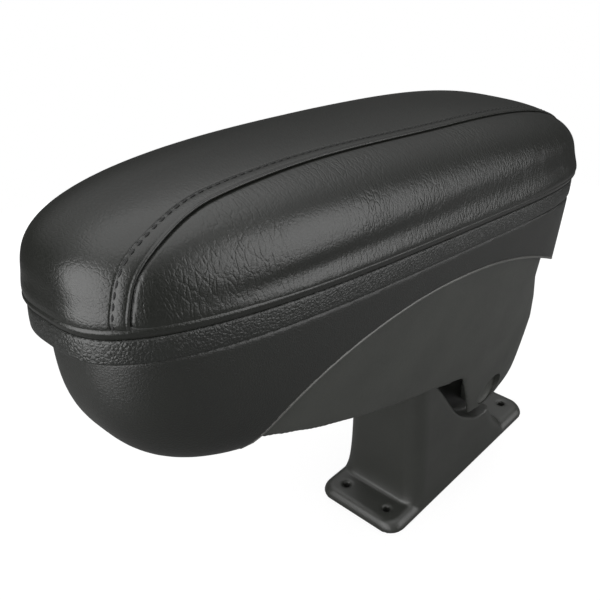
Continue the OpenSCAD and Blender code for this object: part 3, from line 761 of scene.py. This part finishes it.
def make_pedestal():
    plate = loft([block_ring(z, BASE_W / 2 - i, 0.7 * i - BASE_L / 2, BASE_L / 2 - 0.7 * i, BASE_R - 0.6 * i)
                  for z, i in FLANGE])
    join(plate, loft(ped_rings(0)))
    low = block_ring(-1, BASE_W / 2 - 2 * PED_WALL, 2 * PED_WALL - PED_FRONT, PED_REAR - 2 * PED_WALL, PED_R / 2)
    core = loft([low] + ped_rings(PED_WALL, 2))
    above = arm_side(rectangle(-200, PED_TOP - PED_WALL, 200, 400))
    cut(core, prism(above, 90), *pocket(LUG_X - PED_WALL, PED_WALL))
    rib = 2.4
    cut(core, rod(-LUG_X, LUG_X, PIVOT_Y, PIVOT_Z, SLEEVE_R + 4, 48),
        *[prism(rectangle(y, BASE_T, y + rib, 140), 50) for y in (-30, -5)],
        prism(rectangle(-60, BASE_T, 60, 141), rib / 2))
    cut(plate, core, *pocket(LUG_X, 0))
    cut(plate, prism(arm_side(rectangle(-200, PED_TOP, 200, 400)), 91),
        rod(-40, 40, PIVOT_Y, PIVOT_Z, SLEEVE_R + 0.05, 48))
    for x in (-BOLT_DX / 2, BOLT_DX / 2):
        for y in (-BOLT_DY / 2, BOLT_DY / 2):
            cut(plate, post(x, y, -2, 12, BOLT_R, 32), post(x, y, BASE_T - 0.7, 12, SPOT_R, 40))
    plate.name = "pedestal_moulding"
    soften(plate, 0.95, 4, 0.55)
    finish_piece(plate, "base", "pedestal_plastic", replaces=["base_pedestal"])


# Lid tray with its grained rim

LID_POINTS = 220


def lid_ring(z, inset):
    return plan_ring(z, LID_W / 2 - inset, LID_FRONT + inset, LID_REAR - inset, n=LID_POINTS)


def quarter_turn(step):
    return [math.radians(a) for a in range(0, 91, step)]


def make_tray():
    low, high = 1.4, 1.2
    rings = [lid_ring(TRAY_Z + low * (1 - math.cos(a)), low * (1 - math.sin(a))) for a in quarter_turn(15)]
    rings += [lid_ring(TRAY_Z + z, -0.12 * math.sin(math.pi * (z - low) / 7.2)) for z in (3, 5, 7)]
    rings += [lid_ring(RIM_TOP - high * (1 - math.sin(a)), high * (1 - math.cos(a))) for a in quarter_turn(18)]
    tray = loft(rings)
    cut(tray, loft([lid_ring(z, TRAY_T + 1) for z in (TRAY_Z + TRAY_T, RIM_TOP + 1)]))
    for x, y in ((28, -205), (36, -95), (38, 20)):
        for side in (-1, 1):
            cut(tray, post(side * x, y, TRAY_Z - 1, TRAY_Z + 1.4, 3.3), post(side * x, y, TRAY_Z, TRAY_Z + 4, 1.8))
    tray.name = "rim_moulding"
    finish_piece(tray, "lid", "rim_plastic", replaces=["lid_tray"], angle=50)


# Cushion

def crown_ring(angle):
    """Ring of the cushion's crown, from its bulge (0 degrees) to its top (90 degrees)."""
    s = math.sin(math.radians(angle))
    side, front, rear = [(1 - s ** p) ** (1 / p) for p in (2.75, 3.15, 3.0)]
    half_l, top_power = LID_L / 2 + BULGE, 2.55
    return plan_ring(CROWN_Z + (CUSHION_H - BULGE_H) * s, (LID_W / 2 + BULGE) * side, PLAN_MID - half_l * front,
                     PLAN_MID + half_l * rear, REAR_POWER + (top_power - REAR_POWER) * s,
                     FRONT_POWER + (top_power - FRONT_POWER) * s, LID_POINTS)


def smoothstep(v):
    v = np.clip(v, 0, 1)
    return v * v * (3 - 2 * v)


def seam_x(y):
    """Where the seam runs: distance right of the middle at a place along the lid."""
    return 26.8 + 3.6 * smoothstep((y + 165) / 110) + 3.5 * (1 - smoothstep((y + 232) / 32))


def seam_offset(co, normal):
    """Signed distance from the seam, measured along the surface."""
    lean = np.sqrt(np.clip(1 - normal[:, 0] ** 2, 0.06, 1))
    return (co[:, 0] - seam_x(co[:, 1])) / lean


def cushion_form(name):
    low = [(0, 2.4), (0.3, 1.2), (1.2, 0.2), (2.4, -0.4), (4, -0.9), (6, -1.1), (8.5, -0.8)]
    rings = [lid_ring(CUSHION_Z + h, inset) for h, inset in low]
    angles = list(range(0, 64, 3)) + [66, 69, 72, 75, 78, 80.5, 83, 85, 87, 88.5]
    return loft(rings + [crown_ring(a) for a in angles], name)


def plump(form):
    """Cloth simulation on a coarse copy: returns its points and how far each of them moved, capped."""
    frames, limit = 20, 1.6
    coarse = mesh_object("plump", coords(form) * MM, [tuple(p.vertices) for p in form.data.polygons])
    mod = coarse.modifiers.new("remesh", "REMESH")
    mod.mode, mod.voxel_size = "VOXEL", 0.005
    apply_modifiers(coarse)
    rest, normal = coords(coarse) / MM, vertex_normals(coarse)
    held = coarse.vertex_groups.new(name="held")
    off = np.abs(seam_offset(rest, normal))
    for i, p in enumerate(rest):
        hold = 1.0 if p[2] < CUSHION_Z + 5 else max(0.0, 1 - off[i] / 7)
        if hold > 0 and (p[2] < CUSHION_Z + 5 or normal[i, 2] > -0.2):
            held.add([i], hold, "REPLACE")
    cloth = coarse.modifiers.new("cloth", "CLOTH")
    s = cloth.settings
    s.quality, s.mass, s.air_damping = 6, 0.25, 2.0
    s.tension_stiffness = s.compression_stiffness = s.shear_stiffness = 18
    s.bending_stiffness = 2.0
    s.use_pressure, s.uniform_pressure_force = True, 4.0
    s.vertex_group_mass = "held"
    s.effector_weights.gravity = 0
    cloth.collision_settings.use_collision = False
    cloth.point_cache.frame_start, cloth.point_cache.frame_end = 1, frames
    for f in range(1, frames + 1):
        scene.frame_set(f)
    graph = bpy.context.evaluated_depsgraph_get()
    delta = vertex_data(coarse.evaluated_get(graph).to_mesh(), "co") / MM - rest
    coarse.modifiers.clear()
    scene.frame_set(1)
    size = np.linalg.norm(delta, axis=1, keepdims=True)
    delta *= np.minimum(1, limit / np.maximum(size, 1e-6))
    bpy.data.objects.remove(coarse, do_unlink=True)
    return rest, delta


def follow_cloth(cushion, rest, delta):
    """Moves each point like the simulated points nearest to it."""
    tree = kdtree.KDTree(len(rest))
    for i, p in enumerate(rest):
        tree.insert(p, i)
    tree.balance()
    co = coords(cushion)
    shift = np.zeros_like(co)
    for i, p in enumerate(co):
        near = tree.find_n(p, 6)
        w = np.array([1 / (d + 1.5) ** 2 for _, _, d in near])
        shift[i] = (delta[[k for _, k, _ in near]] * w[:, None]).sum(0) / w.sum()
    set_coords(cushion, co + shift)


def refine_by_seam(cushion):
    """Finer mesh beside the seam."""
    bm = bmesh.new()
    bm.from_mesh(cushion.data)
    bm.normal_update()
    for _ in range(2):
        c = np.array([v.co for v in bm.verts])
        n = np.array([v.normal for v in bm.verts])
        off = seam_offset(c, n)
        near = (off > -8.5) & (off < 4) & (c[:, 2] > CUSHION_Z + 0.5)
        bm.verts.ensure_lookup_table()
        edges = [e for e in bm.edges if near[e.verts[0].index] and near[e.verts[1].index]]
        bmesh.ops.subdivide_edges(bm, edges=edges, cuts=1, use_grid_fill=True, smooth=0.0)
        bm.verts.index_update()
        bm.normal_update()
    bm.to_mesh(cushion.data)
    bm.free()


def make_cushion():
    cushion = cushion_form("cushion")
    cloth = plump(cushion)
    soften(cushion, 1.5, 4)
    if cloth:
        follow_cloth(cushion, *cloth)
    refine_by_seam(cushion)
    co, n = coords(cushion), vertex_normals(cushion)
    h = co[:, 2] - CUSHION_Z
    # A shallow valley along the sides above the rolled lower edge, which fades out round the front
    rise = 8 + 7 * smoothstep((co[:, 1] + 235) / 200)
    upright = 1 - np.clip(n[:, 2], 0, 1)
    valley = -1.0 * np.exp(-((h - rise) / (rise * 0.42)) ** 2)
    roll = 0.4 * np.exp(-((h - 0.3 * rise) / (0.25 * rise)) ** 2)
    move = upright * (valley + roll) * smoothstep((h - 0.4) / 2) * smoothstep((co[:, 1] + 242) / 70)
    co = co + n * move[:, None]
    set_coords(cushion, co)
    rows = seam_rows(cushion)
    # The panels dip under the folded band and beside its edge
    off = seam_offset(co, vertex_normals(cushion))
    edge = seam_stitch(co[:, 1]) + 1.0
    under = -0.95 * smoothstep((off + edge) / 1.2) * (off <= 0)
    beside = (off > 0) * (0.6 * np.exp(-(off / 1.0) ** 2) + 0.35 * np.exp(-(off / 4.5) ** 2))
    dip = under - beside
    co = co + vertex_normals(cushion) * (dip * smoothstep((h - 0.2) / 2))[:, None]
    set_coords(cushion, co)
    side = cushion.data.attributes.new("side_panel", "FLOAT", "POINT")
    side.data.foreach_set("value", smoothstep((off - 0.2) / 2.0))
    tight = cushion.data.attributes.new("seam_pull", "FLOAT", "POINT")
    pull_side, pull_top = np.exp(-((off - 3) / 9) ** 2), 0.35 * np.exp(-((off + 8) / 7) ** 2) * (off < -edge)
    tight.data.foreach_set("value", np.where(off > 0, pull_side, pull_top))
    finish_piece(cushion, "lid", "cover_leather", replaces=["cushion_cover", "cushion_foam"])
    make_seam(rows)


def make_hem():
    """The cover's lower edge, rolled tight against the rim."""
    profile = [(0.04, 2.2), (0.02, 0.75), (0.1, 0.45), (0.3, 0.2), (0.7, -0.1), (1.3, -0.45), (2.0, -0.8),
               (2.7, -1.05), (3.3, -1.08), (4.0, -0.8), (4.8, -0.2), (5.4, 0.8)]
    hem = loft([lid_ring(RIM_TOP + h, inset) for h, inset in profile], "cover_hem")
    finish_piece(hem, "lid", "cover_leather", angle=60)


def seam_stitch(y):
    """Distance of the topstitching from the seam."""
    return 5.0 - 0.8 * smoothstep((y + 200) / 150)


# Folded band beside the seam: distance from the seam, as a share of the stitches' distance, and height
BAND = [(-1.28, -0.9), (-1.18, -0.4), (-1.08, -0.16), (-1.0, -0.24), (-0.92, -0.04), (-0.8, 0.12), (-0.62, 0.24),
        (-0.44, 0.29), (-0.31, 0.25), (-0.27, 0.2), (-0.22, 0.3), (-0.15, 0.4), (-0.08, 0.36), (-0.03, 0.18),
        (0.0, -0.1), (0.0, -0.5), (-0.04, -1.0), (-0.1, -1.5)]


def seam_rows(cushion):
    """Points and normals on the cushion across the seam band, row after row from the front to the rear."""
    bm = bmesh.new()
    bm.from_mesh(cushion.data)
    tree = BVHTree.FromBMesh(bm)
    bm.free()
    rows = []
    reach, level = 190, CUSHION_Z + 6
    for a in np.linspace(-2.3, 182.3, 560):
        r = math.radians(a)
        row = []
        x = 28.0
        for share, _ in BAND:
            mid = Vector((0, PLAN_MID, level))
            far = Vector((0, PLAN_MID - reach * math.cos(r), level + reach * math.sin(r)))
            hit = None
            for _ in range(4):
                far.x = mid.x = x
                hit, normal, _, _ = tree.ray_cast(far, (mid - far).normalized())
                if hit is None:
                    break
                lean = math.sqrt(max(0.06, 1 - normal.x ** 2))
                x = float(seam_x(hit.y)) + share * float(seam_stitch(hit.y)) * lean
            if hit is None:
                break
            row.append((*hit, *normal))
        if len(row) == len(BAND):
            rows.append(row)
    rows = np.array(rows)
    # Steady the rows along the seam, because the hits lie on flat faces
    for _ in range(6):
        rows[1:-1] = rows[1:-1] * 0.5 + (rows[:-2] + rows[2:]) * 0.25
    rows[:, :, 3:] /= np.linalg.norm(rows[:, :, 3:], axis=2, keepdims=True)
    return rows


def make_seam(rows):
    """The folded band with its rounded edge, and the stitches along it."""
    lift = np.array([h for _, h in BAND])[None, :, None]
    pts = rows[:, :, :3] + rows[:, :, 3:] * lift
    m, n = pts.shape[:2]
    faces = [(i * n + k, i * n + k + 1, (i + 1) * n + k + 1, (i + 1) * n + k)
             for i in range(m - 1) for k in range(n - 1)]
    band = mesh_object("seam_band", pts.reshape(-1, 3), faces)
    if sum(p.normal.z for p in band.data.polygons) < 0:
        band.data.flip_normals()
    finish_piece(band, "lid", "cover_leather")
    k = [share for share, _ in BAND].index(-1.0)
    make_stitches(pts[:, k], rows[:, k, 3:])


def make_stitches(line, normal):
    """One thread loop per stitch along a line of points."""
    run = np.concatenate([[0], np.cumsum(np.linalg.norm(np.diff(line, axis=0), axis=1))])
    pitch, length, sides = 3.8, 2.75, 8

    def at(s):
        p = np.array([np.interp(s, run, line[:, i]) for i in range(3)])
        q = np.array([np.interp(s, run, normal[:, i]) for i in range(3)])
        return p, q / np.linalg.norm(q)

    verts, faces = [], []
    for i in range(int((run[-1] - 1) / pitch)):
        base = len(verts)
        for t in np.linspace(0, 1, 7):
            s = 0.6 + i * pitch + t * length
            p, q = at(s)
            along = at(s + 0.2)[0] - p
            across = np.cross(q, along / np.linalg.norm(along))
            rise = 0.4 * math.sin(math.pi * t) ** 0.5 - 0.12
            r = 0.36 * (0.55 + 0.45 * math.sin(math.pi * t))
            verts += [p + q * rise + across * r * math.cos(b) + q * r * 0.8 * math.sin(b)
                      for b in np.arange(sides) * math.pi / 4]
        for c in range(base, base + 6 * sides, sides):
            for j in range(sides):
                k = (j + 1) % sides
                faces.append((c + j, c + k, c + sides + k, c + sides + j))
        faces += [tuple(base + j for j in range(sides - 1, -1, -1)), tuple(base + 6 * sides + j for j in range(sides))]
    thread = mesh_object("topstitching", verts, faces)
    mend_normals(thread)
    finish_piece(thread, "lid", "cover_leather", "thread")


# Pivot caps

def make_cap(side):
    """Dished round of (radius, height) rings, turned about the pivot's axis."""
    profile = [(0, 0.9), (2, 0.92), (4, 1.0), (6, 1.15), (8, 1.5), (9.3, 1.95), (10.3, 2.35), (10.8, 2.52),
               (11.1, 2.55), (11.35, 2.45), (11.5, 2.2), (11.5, 0), (0, 0)]
    n = 96
    verts, faces, starts = [], [], []
    for r, h in profile:
        starts.append(len(verts))
        count = 1 if r == 0 else n
        for k in range(count):
            a = 2 * math.pi * k / n
            verts.append((side * (EAR_FACE - CAP_SEAT + h), PIVOT_Y + r * math.cos(a), PIVOT_Z + r * math.sin(a)))
    for i in range(len(profile) - 1):
        for k in range(n):
            j = (k + 1) % n
            a, b = starts[i], starts[i + 1]
            if profile[i][0] == 0:
                faces.append((a, b + k, b + j))
            elif profile[i + 1][0] == 0:
                faces.append((a + k, b, a + j))
            else:
                faces.append((a + k, b + k, b + j, a + j))
    name = "cap_right" if side > 0 else "cap_left"
    obj = mesh_object(name, verts, faces)
    mend_normals(obj)
    # The cap's colour, lighter than the arm's, is a painted highlight
    finish_piece(obj, "arm", "cap_plastic", replaces=["pivot_" + name], angle=60)


make_box()
make_wave_edge()
make_arm()
make_pedestal()
make_tray()
make_cushion()
make_hem()
make_cap(1)
make_cap(-1)

# CAD nodes get the materials that their slots name
record_slots = {s["node"]: s["material_slot"] for s in frame["record"]["subparts"]}
for name, obj in nodes.items():
    obj.data.materials.clear()
    obj.data.materials.append(MAT[record_slots[name]])


# Floor, world and lamps

def make_floor():
    """A round dark table top that is white to the camera but for a soft shadow."""
    mat, shader = new_material("floor", (0.15, 0.15, 0.15), 0.9, specular=0.0)
    radius, middle, sides = 0.62, -0.08, 120
    angles = [k * math.pi / 60 for k in range(sides)]
    rim = [(radius * math.cos(a), radius * math.sin(a) + middle, 0) for a in angles]
    floor = mesh_object("floor", rim, [tuple(range(sides))])
    floor.data.materials.append(mat)
    g = Nodes(mat)
    reach = g.put("ShaderNodeVectorMath", {0: g.coord}, operation="LENGTH").outputs["Value"]
    white = g.span(reach, 0.3, 0.52, 0.86, 1.0, interpolation_type="SMOOTHSTEP")
    camera, mirrored = g.light_path()
    seen = g.math("MULTIPLY", camera, white)
    glow = g.put("ShaderNodeEmission", {"Strength": g.math("MULTIPLY_ADD", mirrored, 0.05, seen)})
    both = g.put("ShaderNodeAddShader", {0: shader.outputs[0], 1: glow.outputs[0]})
    g.tree.links.new(both.outputs[0], g.tree.nodes["Material Output"].inputs["Surface"])


def make_world():
    """Bright overhead and dim at the sides for the object, white to the camera."""
    world = bpy.data.worlds.new("studio")
    scene.world = world
    world.use_nodes = True
    w = Nodes(world)
    up = w.put("ShaderNodeSeparateXYZ", {0: w.direction}).outputs["Z"]
    level = w.span(up, 0.15, 0.85, 0.05, 0.9, interpolation_type="SMOOTHSTEP")
    camera, mirrored = w.light_path()
    level = w.math("MAXIMUM", level, w.math("MAXIMUM", camera, w.math("MULTIPLY", mirrored, 0.06)))
    back = w.tree.nodes["Background"]
    back.inputs["Color"].default_value = (1.0, 1.0, 1.0, 1)
    w.tree.links.new(level, back.inputs["Strength"])


def sun(name, direction, radiance, angle):
    """A wide soft lamp that looks equally bright over its whole disc."""
    lamp = bpy.data.lights.new(name, "SUN")
    lamp.angle = math.radians(angle)
    lamp.energy = radiance * math.pi * math.sin(lamp.angle / 2) ** 2
    obj = bpy.data.objects.new(name, lamp)
    scene.collection.objects.link(obj)
    obj.rotation_euler = Vector(direction).normalized().to_track_quat("Z", "Y").to_euler()


make_floor()
make_world()
sun("overhead", (0.0, 0.05, 1.0), 1.2, 72)
sun("right_rear", (0.894, 0.436, 0.105), 3.3, 50)
sun("front", (0.07, -0.996, 0.05), 4.3, 72)

scene.view_settings.view_transform = "Standard"
